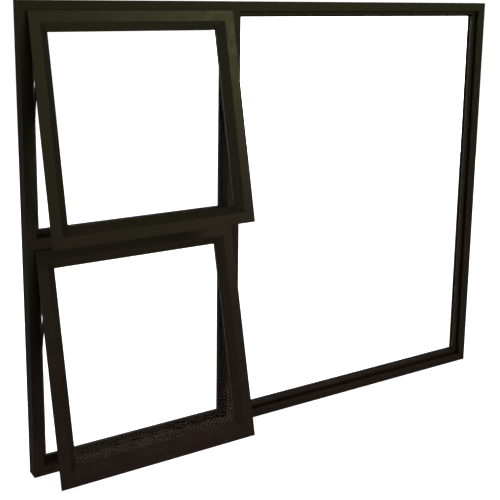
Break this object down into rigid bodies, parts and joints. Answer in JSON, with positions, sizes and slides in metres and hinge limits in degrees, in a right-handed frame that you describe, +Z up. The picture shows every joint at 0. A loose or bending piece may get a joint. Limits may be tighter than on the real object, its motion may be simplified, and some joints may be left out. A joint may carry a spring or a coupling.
{
  "type": "casement window",
  "caption": "Aluminium casement window: two top-hung vents, one above the other, beside a wide fixed light, on friction stays with cam handles.",
  "frame": {"origin": "middle of the sill's underside", "axes": "+X along the width, from the vents to the fixed light; +Y from the weather side to the room; +Z up"},
  "size_m": [1.49, 0.1825, 1.19],
  "materials": {
    "frame_metal": "satin dark bronze coating",
    "sash_metal": "satin dark bronze coating",
    "bead_metal": "satin dark bronze coating",
    "glass": "clear float",
    "gasket_rubber": "matt",
    "block_plastic": "matt",
    "shoe_plastic": "matt",
    "stay_steel": "dark coated strip",
    "screw_steel": "bright",
    "cleat_alloy": "mill",
    "handle_metal": "satin dark coating"
  },
  "bodies": {
    "frame": {"fixed_light_beads": "bead_metal", "fixed_light_glass": "glass", "fixed_light_inner_gasket": "gasket_rubber", "fixed_light_outer_gasket": "gasket_rubber", "fixed_light_setting_blocks": "block_plastic", "frame_corner_cleats": "cleat_alloy", "frame_head": "frame_metal", "frame_jamb_left": "frame_metal", "frame_jamb_right": "frame_metal", "frame_sill": "frame_metal", "handle_strikes": "stay_steel", "lower_left_stay_track": "stay_steel", "lower_right_stay_track": "stay_steel", "lower_vent_seal": "gasket_rubber", "mullion": "frame_metal", "mullion_and_transom_cleats": "cleat_alloy", "mullion_and_transom_screws": "screw_steel", "stay_track_screws": "screw_steel", "transom": "frame_metal", "upper_left_stay_track": "stay_steel", "upper_right_stay_track": "stay_steel", "upper_vent_seal": "gasket_rubber"},
    "upper_left_arm": {"upper_left_stay_arm": "stay_steel"},
    "upper_sash": {"upper_sash_beads": "bead_metal", "upper_sash_bottom_rail": "sash_metal", "upper_sash_corner_cleats": "cleat_alloy", "upper_sash_glass": "glass", "upper_sash_inner_gasket": "gasket_rubber", "upper_sash_left_stile": "sash_metal", "upper_sash_outer_gasket": "gasket_rubber", "upper_sash_right_stile": "sash_metal", "upper_sash_setting_blocks": "block_plastic", "upper_sash_stay_bars": "stay_steel", "upper_sash_top_rail": "sash_metal", "upper_handle_base": "handle_metal"},
    "upper_left_link": {"upper_left_stay_short_link": "stay_steel"},
    "upper_left_shoe": {"upper_left_stay_shoe": "shoe_plastic"},
    "upper_right_arm": {"upper_right_stay_arm": "stay_steel"},
    "upper_right_link": {"upper_right_stay_short_link": "stay_steel"},
    "upper_right_shoe": {"upper_right_stay_shoe": "shoe_plastic"},
    "upper_handle": {"upper_handle_lever": "handle_metal"},
    "lower_left_arm": {"lower_left_stay_arm": "stay_steel"},
    "lower_sash": {"lower_sash_beads": "bead_metal", "lower_sash_bottom_rail": "sash_metal", "lower_sash_corner_cleats": "cleat_alloy", "lower_sash_glass": "glass", "lower_sash_inner_gasket": "gasket_rubber", "lower_sash_left_stile": "sash_metal", "lower_sash_outer_gasket": "gasket_rubber", "lower_sash_right_stile": "sash_metal", "lower_sash_setting_blocks": "block_plastic", "lower_sash_stay_bars": "stay_steel", "lower_sash_top_rail": "sash_metal", "lower_handle_base": "handle_metal"},
    "lower_left_link": {"lower_left_stay_short_link": "stay_steel"},
    "lower_left_shoe": {"lower_left_stay_shoe": "shoe_plastic"},
    "lower_right_arm": {"lower_right_stay_arm": "stay_steel"},
    "lower_right_link": {"lower_right_stay_short_link": "stay_steel"},
    "lower_right_shoe": {"lower_right_stay_shoe": "shoe_plastic"},
    "lower_handle": {"lower_handle_lever": "handle_metal"}
  },
  "joints": [
    {"name": "upper_vent_opening", "type": "hinge", "parent": "frame", "child": "upper_left_arm", "pos_m": [-0.714, -0.012, 0.907], "axis": [1, 0, 0], "range_deg": [-13, 32]},
    {"name": "upper_sash_on_left_arm", "type": "hinge", "parent": "upper_left_arm", "child": "upper_sash", "pos_m": [-0.714, -0.04192, 1.03659], "axis": [1, 0, 0], "range_deg": [-64.5, 26.5]},
    {"name": "upper_left_link_on_sash", "type": "hinge", "parent": "upper_sash", "child": "upper_left_link", "pos_m": [-0.714, -0.01537, 1.15157], "axis": [1, 0, 0], "range_deg": [-26.5, 64.5]},
    {"name": "upper_left_shoe_on_link", "type": "hinge", "parent": "upper_left_link", "child": "upper_left_shoe", "pos_m": [-0.714, -0.012, 1.13695], "axis": [1, 0, 0], "range_deg": [-32.5, 13.5]},
    {"name": "upper_right_link_on_sash", "type": "hinge", "parent": "upper_sash", "child": "upper_right_link", "pos_m": [-0.1915, -0.01537, 1.15157], "axis": [1, 0, 0], "range_deg": [-26.5, 64.5]},
    {"name": "upper_right_shoe_on_link", "type": "hinge", "parent": "upper_right_link", "child": "upper_right_shoe", "pos_m": [-0.1915, -0.012, 1.13695], "axis": [1, 0, 0], "range_deg": [-32.5, 13.5]},
    {"name": "upper_right_arm_on_track", "type": "hinge", "parent": "frame", "child": "upper_right_arm", "pos_m": [-0.1915, -0.012, 0.907], "axis": [1, 0, 0], "range_deg": [-13.5, 32.5]},
    {"name": "upper_handle_turn", "type": "hinge", "parent": "upper_sash", "child": "upper_handle", "pos_m": [-0.45275, -0.10511, 0.64641], "axis": [0, -0.9744, 0.225], "range_deg": [0, 90]},
    {"name": "lower_vent_opening", "type": "hinge", "parent": "frame", "child": "lower_left_arm", "pos_m": [-0.714, -0.012, 0.3335], "axis": [1, 0, 0], "range_deg": [-14, 31]},
    {"name": "lower_sash_on_left_arm", "type": "hinge", "parent": "lower_left_arm", "child": "lower_sash", "pos_m": [-0.714, -0.04418, 0.46255], "axis": [1, 0, 0], "range_deg": [-62.5, 28.5]},
    {"name": "lower_left_link_on_sash", "type": "hinge", "parent": "lower_sash", "child": "lower_left_link", "pos_m": [-0.714, -0.01563, 0.57704], "axis": [1, 0, 0], "range_deg": [-28.5, 62.5]},
    {"name": "lower_left_shoe_on_link", "type": "hinge", "parent": "lower_left_link", "child": "lower_left_shoe", "pos_m": [-0.714, -0.012, 0.56249], "axis": [1, 0, 0], "range_deg": [-31.5, 14.5]},
    {"name": "lower_right_link_on_sash", "type": "hinge", "parent": "lower_sash", "child": "lower_right_link", "pos_m": [-0.1915, -0.01563, 0.57704], "axis": [1, 0, 0], "range_deg": [-28.5, 62.5]},
    {"name": "lower_right_shoe_on_link", "type": "hinge", "parent": "lower_right_link", "child": "lower_right_shoe", "pos_m": [-0.1915, -0.012, 0.56249], "axis": [1, 0, 0], "range_deg": [-31.5, 14.5]},
    {"name": "lower_right_arm_on_track", "type": "hinge", "parent": "frame", "child": "lower_right_arm", "pos_m": [-0.1915, -0.012, 0.3335], "axis": [1, 0, 0], "range_deg": [-14.5, 31.5]},
    {"name": "lower_handle_turn", "type": "hinge", "parent": "lower_sash", "child": "lower_handle", "pos_m": [-0.45275, -0.11997, 0.05024], "axis": [0, -0.9703, 0.2419], "range_deg": [0, 90]}
  ],
  "couplings": [
    {"joint": "upper_sash_on_left_arm", "follows": "upper_vent_opening", "ratio": -2},
    {"joint": "upper_left_link_on_sash", "follows": "upper_vent_opening", "ratio": 2},
    {"joint": "upper_left_shoe_on_link", "follows": "upper_vent_opening", "ratio": -1},
    {"joint": "upper_right_link_on_sash", "follows": "upper_vent_opening", "ratio": 2},
    {"joint": "upper_right_shoe_on_link", "follows": "upper_vent_opening", "ratio": -1},
    {"joint": "upper_right_arm_on_track", "follows": "upper_vent_opening", "ratio": 1},
    {"joint": "lower_sash_on_left_arm", "follows": "lower_vent_opening", "ratio": -2},
    {"joint": "lower_left_link_on_sash", "follows": "lower_vent_opening", "ratio": 2},
    {"joint": "lower_left_shoe_on_link", "follows": "lower_vent_opening", "ratio": -1},
    {"joint": "lower_right_link_on_sash", "follows": "lower_vent_opening", "ratio": 2},
    {"joint": "lower_right_shoe_on_link", "follows": "lower_vent_opening", "ratio": -1},
    {"joint": "lower_right_arm_on_track", "follows": "lower_vent_opening", "ratio": 1}
  ]
}
